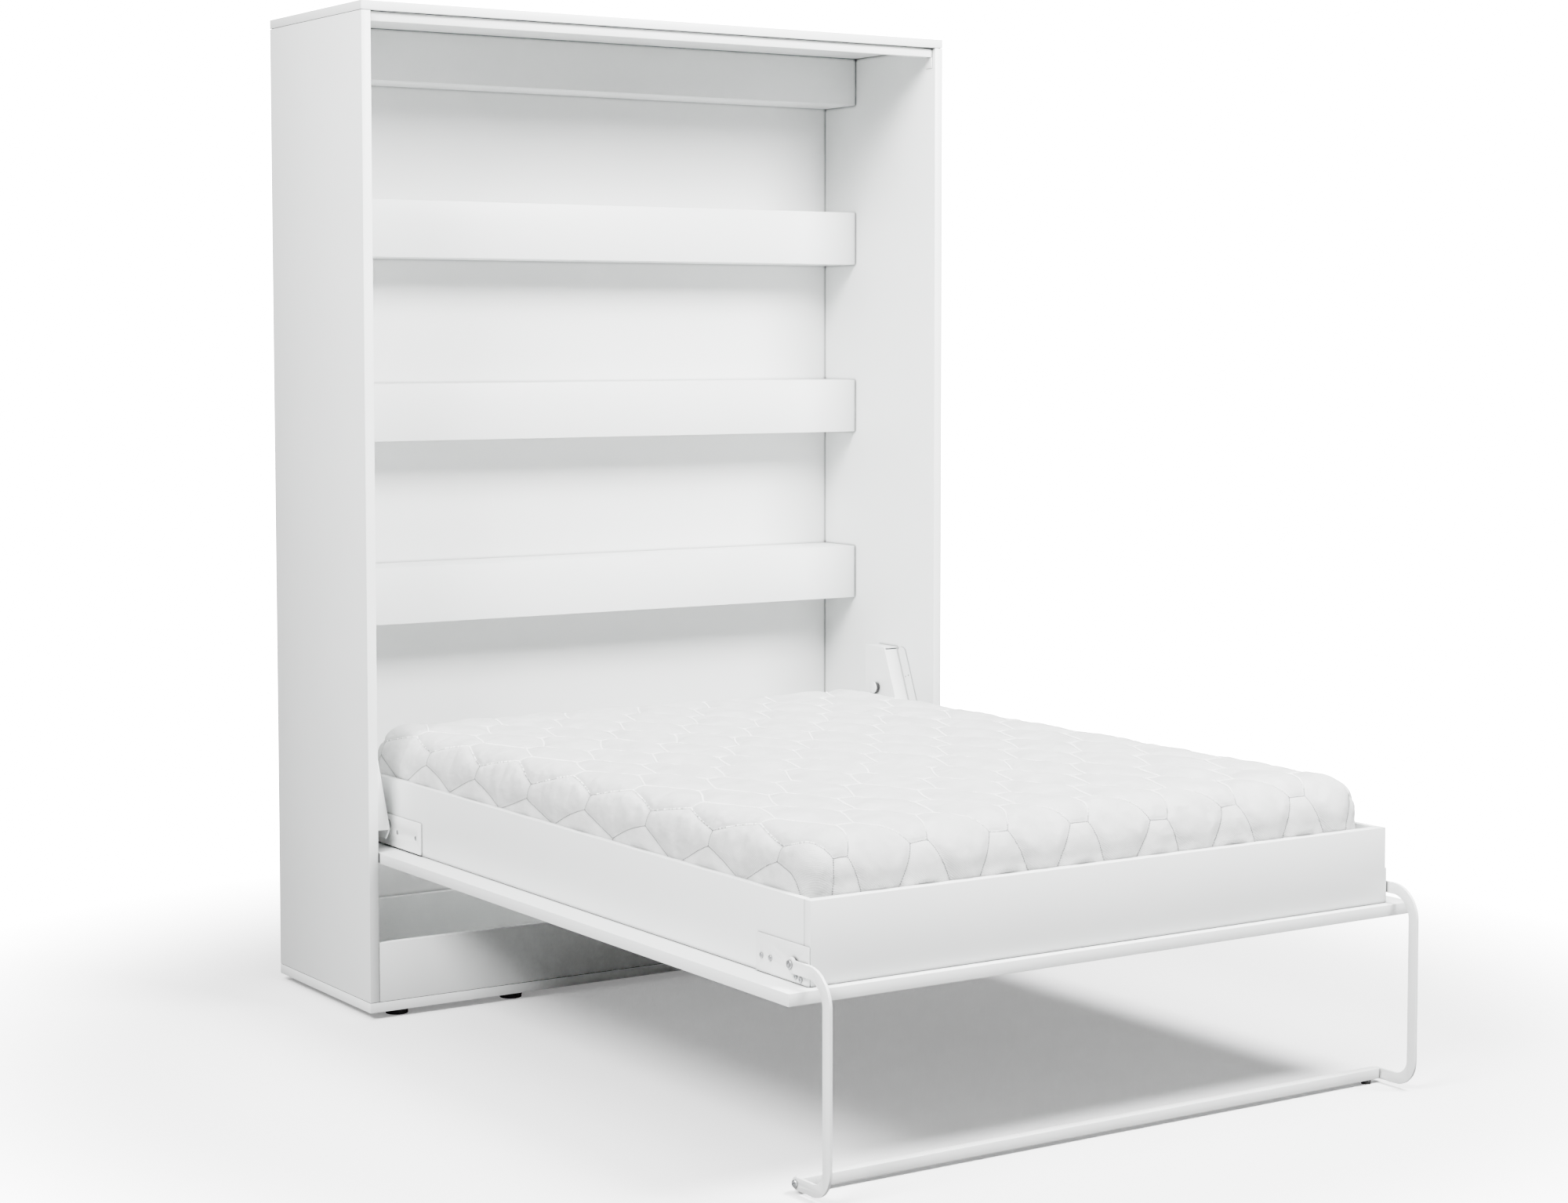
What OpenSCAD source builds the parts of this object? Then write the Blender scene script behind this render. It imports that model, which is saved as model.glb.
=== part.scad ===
// Vertical wall bed: a cabinet holds a bed that folds up between its side panels.
// The bed is drawn open. X runs across the bed, -Y points from the wall to the foot, Z is up.
// Places along Y are counted from the cabinet's front edge, and inFrame() moves them at the end.

/* [Mattress] */
// Width of the mattress
mattress_w = 1400; // [900:10:1800]
// Length of the mattress
mattress_l = 1900; // [1800:10:2200]
// Thickness of the mattress
mattress_t = 200; // [120:5:260]
// Radius of the mattress corners, seen from above
mattress_corner_r = 60; // [20:5:120]
// Gap between the mattress and the bed's boards
mattress_gap = 2; // [1:0.5:6]
// How far the mattress's head end lies behind the cabinet's front
mattress_set_back = 237; // [180:1:260]

/* [Cabinet] */
// Depth of the cabinet
body_d = 514; // [480:1:600]
// Thickness of the side panels
side_t = 24; // [18:1:28]
// Thickness of the top panel
top_t = 22; // [18:1:28]
// Thickness of the bottom panel
bottom_t = 24; // [18:1:28]
// Thickness of the back panel
back_t = 12; // [8:1:18]
// Thickness of the rail boards
rail_board_t = 18; // [16:1:22]
// Height of the cross rails
cross_rail_h = 138; // [100:1:160]
// Height of the top rail
top_rail_h = 122; // [80:1:130]
// Depth of the cross rails, from their face to the back panel
rail_depth = 147; // [100:1:150]
// Height of the lower cross rail's bottom edge above the floor
lower_rail_z = 868; // [820:1:900]
// Distance from one cross rail to the next
rail_pitch = 442; // [400:1:450]
// Height of the plinth fascia
fascia_h = 137; // [100:1:140]
// Height of the stop strip under the top panel
strip_h = 21; // [15:1:30]
// Gap between the top panel and the stop strip
strip_gap = 2; // [1:0.5:4]
// How far the stop strip sits behind the cabinet's front
strip_set_back = 12; // [5:1:20]
// Finger gap between the closed front board and the stop strip
grip_gap = 55; // [54:1:90]

/* [Feet] */
// Height of the cabinet's feet
foot_h = 16; // [12:1:22]
// Radius of the cabinet's feet
foot_r = 28; // [20:1:35]
// Distance from the cabinet's side to the first foot
foot_inset = 87; // [50:1:120]
// Distance between the feet of a pair
foot_pitch = 296; // [200:1:350]

/* [Bed frame] */
// Height of the front board's underside above the floor, with the bed open
board_z = 360; // [350:1:380]
// Thickness of the front board
board_t = 25; // [19:1:28]
// Gap at each side of the front board
board_gap = 2; // [1:0.5:4]
// How far the front board stands past the footboard
board_overhang = 20; // [10:1:25]
// Gap between the closed front board and the fascia
board_fascia_gap = 18; // [17:1:24]
// Height of the side rails and the footboard
rail_h = 159; // [120:1:180]
// Thickness of the side rails
rail_t = 16; // [12:1:18]
// Thickness of the footboard
footboard_t = 22; // [16:1:25]
// Space between a side rail and the cabinet's side panel
mechanism_gap = 63; // [60:1:75]
// Number of slats
slat_count = 14; // [8:1:20]
// Width of a slat
slat_w = 60; // [40:1:80]
// Thickness of a slat
slat_t = 8; // [6:1:14]
// Width of the ledges that the slats rest on
ledge_w = 30; // [20:1:40]
// Height of the ledges
ledge_h = 30; // [20:1:40]

/* [Fold pivot] */
// How far the bed's pivot lies behind the cabinet's front
pivot_y = 74; // [73:1:76]
// Radius of the pivot pins
pin_r = 8; // [6:0.5:10]
// Radial clearance of every running fit
fit_clear = 0.05; // [0.02:0.01:0.1]
// Radius of the pivot bushes
bush_r = 12; // [11:0.5:15]
// Thickness of the pivot brackets' sheet
bracket_t = 3; // [2:0.5:3]
// Depth of the pivot brackets, from the side panel to their bed-side face
bracket_w = 43; // [40:1:44]
// Thickness of the hinge plates
hinge_plate_t = 4; // [3:0.5:5]
// Height of the hinge plates
hinge_plate_h = 72; // [60:1:80]

/* [Gas struts] */
// Height of the strut's upper stud above the bed's pivot
stud_up = 212; // [205:1:215]
// How far the strut's upper stud lies behind the bed's pivot
stud_back = 116; // [112:1:118]
// How far the strut's lower stud lies below the bed's pivot
stud_down = 28; // [26:1:30]
// Radius of the strut's studs
stud_r = 5; // [4:0.5:6]
// Radius of the upper stud's round head
stud_head_r = 15; // [8:0.5:16]
// Radius of the strut's barrel
barrel_r = 7; // [6.5:0.1:7.5]
// Radius of the strut's rod
rod_r = 4; // [3:0.5:4.5]

/* [Leg frame] */
// Width of the leg's flat bar
bar_w = 24; // [18:1:24]
// Thickness of the leg's flat bar
bar_t = 6; // [4:0.5:8]
// Distance from the footboard's face to the leg's pivot
leg_inset = 47; // [44:1:50]
// Height of the leg's pivot above the floor
leg_pivot_z = 421; // [420:1:424]
// How far the leg's upright stands in front of its pivot
leg_reach = 118; // [112:1:120]
// Radius of the leg's upper bend
leg_bend_r = 58; // [54:1:62]
// Radius of the leg's lower bend
leg_toe_r = 44; // [38:1:50]
// Distance from the leg's pivot to its crossbar, along the bed
toe_back = 19; // [10:1:24]
// Size of the square crossbar
crossbar_s = 22; // [16:1:22]
// Wall of the crossbar
crossbar_wall = 2; // [1.5:0.5:3]
// Radius of the leg's pivot bolts
leg_bolt_r = 5; // [4:0.5:6]
// Height of the leg's rubber feet
leg_foot_h = 9; // [6:1:12]

/* [Wall fixing] */
// Distance between the wall screws of a pair
wall_screw_pitch = 1200; // [600:10:1300]
// Radius of the wall screw holes
wall_screw_r = 4.5; // [3:0.5:6]

/* [Hidden] */
$fn = 48;
cut = 1;
contact_gap = 0.3;
white = [0.93, 0.94, 0.93];
steel_white = [0.88, 0.89, 0.88];
zinc = [0.7, 0.71, 0.72];
black = [0.06, 0.06, 0.06];
timber = [0.82, 0.7, 0.5];
fabric_white = [0.96, 0.96, 0.96];

// Bed across
rail_in_x = mattress_w / 2 + mattress_gap;
rail_out_x = rail_in_x + rail_t;
body_in_x = rail_out_x + mechanism_gap;
body_out_x = body_in_x + side_t;
board_half_w = body_in_x - board_gap;

// Bed along
mattress_foot_y = mattress_set_back - mattress_l;
footboard_in_y = mattress_foot_y - mattress_gap;
footboard_y = footboard_in_y - footboard_t;
board_foot_y = footboard_y - board_overhang;
leg_pivot_y = footboard_y + leg_inset;

// Heights
floor_top_z = foot_h + bottom_t;
board_top_z = board_z + board_t;
rail_top_z = board_top_z + rail_h;
pivot_z = board_z + pivot_y;
closed_top_z = pivot_z + pivot_y - board_foot_y;
strip_z = closed_top_z + grip_gap;
body_under_z = strip_z + strip_h + strip_gap;
body_top_z = body_under_z + top_t;
fascia_top_z = floor_top_z + fascia_h;
board_head_y = pivot_z + pivot_y - fascia_top_z - board_fascia_gap;
head_rail_y = mattress_set_back + mattress_gap;

// Slats and ledges under the mattress
slat_top_z = 455;
slat_z = slat_top_z - slat_t;
ledge_z = slat_z - ledge_h;
slat_end_gap = 3;
slat_first_y = footboard_in_y + 70;
slat_last_y = mattress_set_back - 60;
slat_pitch = (slat_last_y - slat_first_y) / (slat_count - 1);
holder_l = 34;
holder_t = 2.5;
beam_w = 40;

// Inside of the cabinet
back_in_y = body_d - back_t;
rail_face_y = back_in_y - rail_depth;
shelf_y = rail_face_y + rail_board_t;
top_rail_z = body_under_z - top_rail_h;
batten_h = 80;
wall_screw_z = top_rail_z + top_rail_h - 45;
low_screw_z = floor_top_z + fascia_h / 2;
catch_plate_s = 27;
catch_plate_t = 3;
connector_r = 3.5;
connector_l = 45;

// Whole object along Y, which sets the frame's origin under the middle of the object
leg_front_y = leg_pivot_y - leg_reach - bar_w / 2;
front_shift = -(leg_front_y + body_d) / 2;

// Pivot bracket's outline, from the bed's pivot
bracket_in_x = body_in_x - bracket_w;
hinge_face_x = rail_out_x + hinge_plate_t;
bracket_outline = [
    [-43, -3], [-26, -26], [26, -26], [171, 60], [171, 319], [85.5, 319]
];
front_inset = 0.4;
lip_w = 31;
lip_lap = 6;
lip_from = 90;
lip_to = 322;
lip_hole_z = 262;
lip_hole_r = 2.1;
lip_hole_spots = [-22, -9];
slant = atan2(128.5, 322);
slant_l = 340;
bracket_screw_r = 2.5;
bracket_screw_spots = [[130, 285], [130, 130], [60, 130], [10, 12]];

// Struts: both studs lie on one circle about the bed's pivot, so a strut swings by half the fold
stud_circle_r = sqrt(stud_up * stud_up + stud_back * stud_back);
upper_y = pivot_y + stud_back;
upper_z = pivot_z + stud_up;
lower_y = pivot_y + sqrt(stud_circle_r * stud_circle_r - stud_down * stud_down);
lower_z = pivot_z - stud_down;
rail_head_y = lower_y + 14;
strut_l = norm([lower_y - upper_y, lower_z - upper_z]);
strut_angle = atan2(lower_z - upper_z, lower_y - upper_y);
strut_x = (bracket_in_x + hinge_face_x) / 2;
strut_eye_r = 13;
strut_eye_t = 8;
slot_l = 31;
slot_plate_t = 5;
slot_wall = 2.3;
slot_half_w = stud_r + contact_gap;
slot_plate_start = strut_l - slot_half_w - 9;
barrel_end = slot_plate_start - 3;
barrel_start = stud_head_r + 2;
rod_start = barrel_start + 3;
cavity_r = rod_r + 1.5;
guide_l = 10;

// Leg frame
plate_t = 4;
leg_plate_top_z = board_top_z + 73;
leg_plate_head_y = footboard_y + 177;
leg_arm_in_x = rail_out_x + plate_t + 4;
leg_arm_out_x = leg_arm_in_x + bar_t;
leg_drop = 4;
bar_half = bar_w / 2;
crossbar_z = leg_foot_h + crossbar_s / 2;
toe_y = leg_pivot_y - toe_back;
upright_y = leg_pivot_y - leg_reach;
arm_top_z = leg_pivot_z - leg_drop;
leg_bush_r = leg_bolt_r + 2;
toe_bolt_r = 4;
plug_l = 40;
leg_foot_r = 11;

// Moves a piece from the cabinet's front edge to the frame's origin
module inFrame() {
    translate([0, front_shift, 0])
        children();
}

// Draws a piece made for the right-hand side on the side named by sign
module onSide(sign) {
    if (sign > 0) {
        children();
    } else {
        mirror([1, 0, 0])
            children();
    }
}

module onBothSides() {
    for (sign = [-1, 1])
        onSide(sign)
            children();
}

// Board between two corners
module board(low, high) {
    translate(low)
        cube(high - low);
}

// Round bar along X
module barX(x0, x1, y, z, r) {
    translate([x0, y, z])
        rotate([0, 90, 0])
            cylinder(r = r, h = x1 - x0);
}

// Flat shape given in Y and Z, with its thickness along X
module plateX(x0, x1) {
    translate([x0, 0, 0])
        rotate([90, 0, 90])
            linear_extrude(x1 - x0)
                children();
}

// Cabinet panels
module sidePanel() {
    color(white)
        difference() {
            board([body_in_x, 0, floor_top_z], [body_out_x, body_d, body_under_z]);
            for (spot = bracket_screw_spots)
                barX(body_in_x - cut, body_in_x + 14, pivot_y + spot[0], pivot_z + spot[1],
                    bracket_screw_r);
        }
}

module topPanel() {
    color(white)
        difference() {
            board([-body_out_x, 0, body_under_z], [body_out_x, body_d, body_top_z]);
            connectorRow(body_under_z - cut, body_under_z + connector_l / 3);
        }
}

module bottomPanel() {
    color(white)
        difference() {
            board([-body_out_x, 0, foot_h], [body_out_x, body_d, floor_top_z]);
            footSpots()
                translate([0, 0, -cut])
                    cylinder(r = connector_r, h = foot_h + bottom_t / 2 + cut);
        }
}

module backPanel() {
    color(white)
        difference() {
            board([-body_in_x, back_in_y, floor_top_z], [body_in_x, body_d, body_under_z]);
            wallScrewHoles();
        }
}

module plinthFascia() {
    color(white)
        board([-body_in_x, 0, floor_top_z], [body_in_x, rail_board_t, fascia_top_z]);
}

module rearPlinthRail() {
    color(white)
        difference() {
            board([-body_in_x, back_in_y - rail_board_t, floor_top_z],
                [body_in_x, back_in_y, fascia_top_z]);
            wallScrewHoles();
        }
}

// Face board of a rail
module railFace(z, h) {
    color(white)
        board([-body_in_x, rail_face_y, z], [body_in_x, shelf_y, z + h]);
}

module railTopBoards() {
    color(white)
        for (i = [0 : 2])
            railShelf(lower_rail_z + i * rail_pitch + cross_rail_h - rail_board_t);
}

module railBaseBoards() {
    color(white) {
        for (i = [0 : 2])
            railShelf(lower_rail_z + i * rail_pitch);
        railShelf(top_rail_z);
    }
}

module railShelf(z) {
    board([-body_in_x, shelf_y, z], [body_in_x, back_in_y, z + rail_board_t]);
}

// Four holes for the screws into the wall: two in the batten, two in the rear plinth rail
module wallScrewHoles() {
    onBothSides()
        for (z = [low_screw_z, wall_screw_z])
            translate([wall_screw_pitch / 2, body_d + cut, z])
                rotate([90, 0, 0])
                    cylinder(r = wall_screw_r, h = back_t + rail_board_t + 2 * cut);
}

module wallFixingBatten() {
    color(timber)
        difference() {
            board([-body_in_x, back_in_y - rail_board_t, wall_screw_z - batten_h / 2],
                [body_in_x, back_in_y, wall_screw_z + batten_h / 2]);
            wallScrewHoles();
        }
}

module stopStrip() {
    color(white)
        board([-body_in_x, strip_set_back, strip_z],
            [body_in_x, strip_set_back + rail_board_t, strip_z + strip_h]);
}

// Small square plates on the side panels, under the ends of the stop strip
module catchPlates() {
    color(white)
        onBothSides()
            board([body_in_x - catch_plate_t, strip_set_back, strip_z - catch_plate_s],
                [body_in_x, strip_set_back + catch_plate_s, strip_z]);
}

// Calls its children at each cabinet foot
module footSpots() {
    for (sign = [-1, 1])
        for (x = [body_out_x - foot_inset, body_out_x - foot_inset - foot_pitch])
            for (y = [45, body_d - 45])
                translate([sign * x, y, 0])
                    children();
}

module cabinetFeet() {
    color(black)
        footSpots()
            difference() {
                union() {
                    cylinder(r = foot_r - 2, h = foot_h);
                    translate([0, 0, foot_h / 2])
                        cylinder(r = foot_r, h = foot_h / 2);
                }
                translate([0, 0, -cut])
                    cylinder(r = connector_r, h = foot_h + 2 * cut);
                translate([0, 0, -cut])
                    cylinder(r = 2 * connector_r, h = foot_h / 3 + cut);
            }
}

module footScrews() {
    color(zinc)
        footSpots() {
            translate([0, 0, foot_h / 3 - 3])
                cylinder(r = 2 * connector_r - 0.2, h = 3);
            translate([0, 0, foot_h / 3])
                cylinder(r = connector_r, h = 2 * foot_h / 3 + bottom_t / 2);
        }
}

// Connector screws that hold the top panel to the side panels
module connectorRow(z0, z1) {
    for (sign = [-1, 1])
        for (y = [60, body_d / 2, body_d - 60])
            translate([sign * (body_in_x + side_t / 2), y, z0])
                cylinder(r = connector_r, h = z1 - z0);
}

module cabinetConnectors() {
    color(zinc)
        connectorRow(body_under_z, body_under_z + connector_l / 3);
}

// Pivot bracket: a box of folded sheet, open below, with a slanted front
module pivotBracket() {
    color(steel_white)
        difference() {
            union() {
                bracketPlate(body_in_x - bracket_t, body_in_x);
                bracketPlate(bracket_in_x, bracket_in_x + bracket_t);
                board([bracket_in_x, pivot_y + 168, pivot_z + 60],
                    [body_in_x, pivot_y + 171, pivot_z + 319]);
                board([bracket_in_x, pivot_y + 85.5, pivot_z + 319 - bracket_t],
                    [body_in_x, pivot_y + 171, pivot_z + 319]);
                bracketFront();
            }
            barX(bracket_in_x - cut, body_in_x + cut, pivot_y, pivot_z, pin_r);
            barX(bracket_in_x - cut, body_in_x + cut, upper_y, upper_z, stud_r);
            for (spot = bracket_screw_spots)
                barX(body_in_x - bracket_t - cut, body_in_x + cut, pivot_y + spot[0],
                    pivot_z + spot[1], bracket_screw_r);
        }
}

module bracketPlate(x0, x1) {
    plateX(x0, x1)
        translate([pivot_y, pivot_z])
            polygon(bracket_outline);
}

// Folded front of the bracket, and a lip that runs on from its wall plate, with two small holes
module bracketFront() {
    translate([body_in_x, pivot_y - 43, pivot_z - 3])
        rotate([-slant, 0, 0]) {
            translate([-bracket_w + front_inset, front_inset, front_inset])
                cube([bracket_w - 2 * front_inset, bracket_t, slant_l]);
            translate([-bracket_t, 0, 0])
                difference() {
                    bracketLip();
                    for (y = lip_hole_spots)
                        translate([-cut, y, lip_hole_z])
                            rotate([0, 90, 0])
                                cylinder(r = lip_hole_r, h = bracket_t + 2 * cut);
                }
        }
}

module bracketLip() {
    lip_t = bracket_t - 2 * front_inset;
    translate([front_inset, -lip_w, lip_from])
        cube([lip_t, lip_w + lip_lap, lip_to - lip_from]);
    translate([front_inset, (lip_lap - lip_w) / 2, lip_to])
        rotate([0, 90, 0])
            cylinder(r = (lip_w + lip_lap) / 2, h = lip_t);
}

module bracketScrews() {
    color(zinc)
        onBothSides()
            for (spot = bracket_screw_spots) {
                barX(body_in_x - bracket_t - 2, body_in_x - bracket_t, pivot_y + spot[0],
                    pivot_z + spot[1], 2 * bracket_screw_r);
                barX(body_in_x - bracket_t, body_in_x + 14, pivot_y + spot[0],
                    pivot_z + spot[1], bracket_screw_r);
            }
}

// Pin fixed in the bracket, with a collar that keeps the hinge plate off it
module pivotPin() {
    color(zinc) {
        barX(rail_in_x + 1, body_in_x, pivot_y, pivot_z, pin_r);
        barX(hinge_face_x + contact_gap, bracket_in_x, pivot_y, pivot_z, pin_r + 5);
    }
}

module strutStudsUpper() {
    color(zinc)
        onBothSides() {
            barX(strut_x - strut_eye_t / 2 - contact_gap, bracket_in_x + bracket_t, upper_y,
                upper_z, stud_r);
            barX(strut_x + strut_eye_t / 2 + contact_gap, bracket_in_x, upper_y, upper_z, 9);
            barX(strut_x - strut_eye_t / 2 - contact_gap - 3,
                strut_x - strut_eye_t / 2 - contact_gap, upper_y, upper_z, stud_head_r);
        }
}

// Bed boards
module frontBoard() {
    color(white)
        board([-board_half_w, board_foot_y, board_z], [board_half_w, board_head_y, board_top_z]);
}

module sideRail() {
    color(white)
        difference() {
            board([rail_in_x, footboard_in_y, board_top_z],
                [rail_out_x, rail_head_y, rail_top_z]);
            barX(rail_in_x - cut, rail_out_x + cut, pivot_y, pivot_z, bush_r);
            barX(rail_in_x - cut, rail_out_x + cut, lower_y, lower_z, stud_r - 1);
            barX(rail_in_x - cut, rail_out_x + cut, leg_pivot_y, leg_pivot_z, leg_bolt_r);
            railScrewHoles(rail_out_x + cut);
        }
}

module footboard() {
    color(white)
        board([-rail_out_x, footboard_y, board_top_z], [rail_out_x, footboard_in_y, rail_top_z]);
}

module headRail() {
    color(white)
        board([-rail_in_x, head_rail_y, board_top_z],
            [rail_in_x, head_rail_y + rail_t, rail_top_z - 40]);
}

module slatLedge() {
    color(timber)
        board([rail_in_x - ledge_w, footboard_in_y, ledge_z], [rail_in_x, head_rail_y, slat_z]);
}

module centreBeam() {
    color(timber)
        board([-beam_w / 2, footboard_in_y, board_top_z], [beam_w / 2, head_rail_y, slat_z]);
}

// Calls its children at the middle of each slat
module slatSpots() {
    for (i = [0 : slat_count - 1])
        translate([0, slat_first_y + i * slat_pitch, slat_z])
            children();
}

module bedSlats() {
    half_l = rail_in_x - slat_end_gap - holder_t;
    color(timber)
        slatSpots()
            board([-half_l, -slat_w / 2, 0], [half_l, slat_w / 2, slat_t]);
}

// Plastic caps that hold the slats' ends on the ledges
module slatHolders() {
    cap_x = rail_in_x - slat_end_gap;
    cap_half = slat_w / 2 + holder_t;
    color(black)
        slatSpots()
            onBothSides()
                difference() {
                    board([cap_x - holder_l, -cap_half, 0], [cap_x, cap_half, slat_t]);
                    board([cap_x - holder_l - cut, -slat_w / 2, -cut],
                        [cap_x - holder_t, slat_w / 2, slat_t + cut]);
                }
}

module mattress() {
    half_w = mattress_w / 2;
    r = mattress_corner_r;
    color(fabric_white)
        translate([0, 0, slat_top_z + contact_gap])
            linear_extrude(mattress_t - contact_gap)
                union() {
                    translate([-half_w + r, mattress_foot_y])
                        square([mattress_w - 2 * r, mattress_l]);
                    translate([-half_w, mattress_foot_y + r])
                        square([mattress_w, mattress_l - 2 * r]);
                    for (x = [-half_w + r, half_w - r])
                        for (y = [mattress_foot_y + r, mattress_set_back - r])
                            translate([x, y])
                                circle(r = r);
                }
}

// Plate on the side rail that turns on the pivot pin
hinge_plate_foot_y = pivot_y - 168;
hinge_plate_head_y = pivot_y + 76;
hinge_screw_spots = [pivot_y - 48, pivot_y - 143, pivot_y + 50];
hinge_screw_z = pivot_z - 11;
hinge_plate_z = board_top_z + 3;
hinge_screw_r = 3.9;
hinge_screw_gap = 1.3;

module hingePlate() {
    color(steel_white)
        difference() {
            board([rail_out_x, hinge_plate_foot_y, hinge_plate_z],
                [hinge_face_x, hinge_plate_head_y, hinge_plate_z + hinge_plate_h]);
            barX(rail_out_x - cut, hinge_face_x + cut, pivot_y, pivot_z, bush_r);
            for (y = hinge_screw_spots)
                barX(rail_out_x - cut, hinge_face_x + cut, y, hinge_screw_z,
                    hinge_screw_r + hinge_screw_gap);
        }
}

module hingePlateScrews() {
    color(zinc)
        onBothSides()
            for (y = hinge_screw_spots) {
                barX(rail_out_x, hinge_face_x - 0.5, y, hinge_screw_z, hinge_screw_r);
                barX(rail_out_x - 12, rail_out_x, y, hinge_screw_z, leg_screw_r);
            }
}

module pivotBushes() {
    color(black)
        onBothSides()
            difference() {
                barX(rail_in_x, hinge_face_x, pivot_y, pivot_z, bush_r);
                barX(rail_in_x - cut, hinge_face_x + cut, pivot_y, pivot_z, pin_r + fit_clear);
            }
}

module strutStudsLower() {
    color(zinc)
        onBothSides() {
            barX(rail_in_x + 1, rail_out_x, lower_y, lower_z, stud_r - 1);
            barX(rail_out_x, strut_x + slot_plate_t / 2 + contact_gap, lower_y, lower_z, stud_r);
            barX(strut_x + slot_plate_t / 2 + contact_gap,
                strut_x + slot_plate_t / 2 + contact_gap + 2, lower_y, lower_z, stud_r + 2);
        }
}

// Screws of the leg plate, as [y, z]
leg_screw_spots = [
    [leg_pivot_y + 111, leg_pivot_z - 4], [leg_pivot_y + 81, leg_pivot_z - 4],
    [leg_pivot_y - 4, leg_pivot_z - 23], [leg_pivot_y - 21, leg_pivot_z - 26]
];
leg_screw_r = 3;

module railScrewHoles(x_end) {
    for (y = hinge_screw_spots)
        barX(rail_out_x - 12, x_end, y, hinge_screw_z, leg_screw_r);
    for (spot = leg_screw_spots)
        barX(rail_out_x - 12, x_end, spot[0], spot[1], leg_screw_r);
}

module legPlate() {
    color(steel_white)
        difference() {
            board([rail_out_x, footboard_y + 2, board_top_z + 1],
                [rail_out_x + plate_t, leg_plate_head_y, leg_plate_top_z]);
            barX(rail_out_x - cut, rail_out_x + plate_t + cut, leg_pivot_y, leg_pivot_z,
                leg_bolt_r);
            for (spot = leg_screw_spots)
                barX(rail_out_x - cut, rail_out_x + plate_t + cut, spot[0], spot[1], leg_screw_r);
        }
}

module legPlateScrews() {
    face_x = rail_out_x + plate_t;
    color(zinc)
        onBothSides()
            for (spot = leg_screw_spots) {
                difference() {
                    barX(face_x, face_x + 2.6, spot[0], spot[1], 5.2);
                    barX(face_x + 1, face_x + 2.6 + cut, spot[0], spot[1], 2.4);
                }
                barX(rail_out_x - 12, face_x, spot[0], spot[1], leg_screw_r);
            }
}

module legPivotBolts() {
    color(zinc)
        onBothSides() {
            barX(rail_in_x + 1, leg_arm_out_x + contact_gap, leg_pivot_y, leg_pivot_z, leg_bolt_r);
            difference() {
                barX(leg_arm_out_x + contact_gap, leg_arm_out_x + 4, leg_pivot_y, leg_pivot_z, 8);
                barX(leg_arm_out_x + 2, leg_arm_out_x + 4 + cut, leg_pivot_y, leg_pivot_z, 3);
            }
        }
}

// Gas strut, drawn along +X of its own frame from the upper stud to the lower one
module inStrut() {
    translate([strut_x, upper_y, upper_z])
        rotate([strut_angle, 0, 0])
            children();
}

// Round bar along the strut
module barStrut(from, to, r) {
    translate([0, from, 0])
        rotate([-90, 0, 0])
            cylinder(r = r, h = to - from);
}

module strutBarrel() {
    color(black)
        inStrut()
            difference() {
                union() {
                    barX(-strut_eye_t / 2, strut_eye_t / 2, 0, 0, strut_eye_r);
                    barStrut(strut_eye_r - 3, barrel_start + 1, strut_eye_t / 2);
                    barStrut(barrel_start, barrel_end, barrel_r);
                }
                barX(-strut_eye_t, strut_eye_t, 0, 0, stud_r + fit_clear);
                barStrut(rod_start - 1, barrel_end - guide_l, cavity_r);
                barStrut(rod_start, barrel_end + cut, rod_r + fit_clear);
            }
}

module strutRod() {
    color(zinc)
        inStrut() {
            barStrut(rod_start, slot_plate_start, rod_r);
            barStrut(rod_start, rod_start + 6, cavity_r - 0.1);
        }
}

// Slotted end: the stud moves along the slot while the bed folds
module strutEnd() {
    half_w = slot_half_w + slot_wall;
    color(steel_white)
        inStrut()
            difference() {
                union() {
                    translate([-slot_plate_t / 2, slot_plate_start, -half_w])
                        cube([slot_plate_t, strut_l + slot_l - slot_plate_start, 2 * half_w]);
                    barX(-slot_plate_t / 2, slot_plate_t / 2, strut_l + slot_l, 0, half_w);
                }
                for (y = [strut_l, strut_l + slot_l])
                    barX(-slot_plate_t, slot_plate_t, y, 0, slot_half_w);
                translate([-slot_plate_t, strut_l, -slot_half_w])
                    cube([2 * slot_plate_t, slot_l, 2 * slot_half_w]);
            }
}

// Leg arm: a flat bar that goes past the front board, bends down and turns back at its toe
module legArm() {
    color(steel_white)
        difference() {
            plateX(leg_arm_in_x, leg_arm_out_x)
                legArmShape();
            barX(leg_arm_in_x - cut, leg_arm_out_x + cut, leg_pivot_y, leg_pivot_z, leg_bush_r);
            barX(leg_arm_in_x - cut, leg_arm_out_x + cut, toe_y, crossbar_z, toe_bolt_r);
        }
}

module legArmShape() {
    upper_bend = [upright_y + leg_bend_r, arm_top_z - leg_bend_r];
    lower_bend = [upright_y + leg_toe_r, crossbar_z + leg_toe_r];
    translate([leg_pivot_y, leg_pivot_z])
        circle(r = bar_half + 1);
    translate([upper_bend[0], arm_top_z - bar_half])
        square([leg_pivot_y - upper_bend[0], bar_w]);
    quarterRing(upper_bend, leg_bend_r, [-1, 1]);
    translate([upright_y - bar_half, lower_bend[1]])
        square([bar_w, upper_bend[1] - lower_bend[1]]);
    quarterRing(lower_bend, leg_toe_r, [-1, -1]);
    translate([lower_bend[0], crossbar_z - bar_half])
        square([toe_y - lower_bend[0], bar_w]);
    translate([toe_y, crossbar_z])
        circle(r = bar_half);
}

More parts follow.
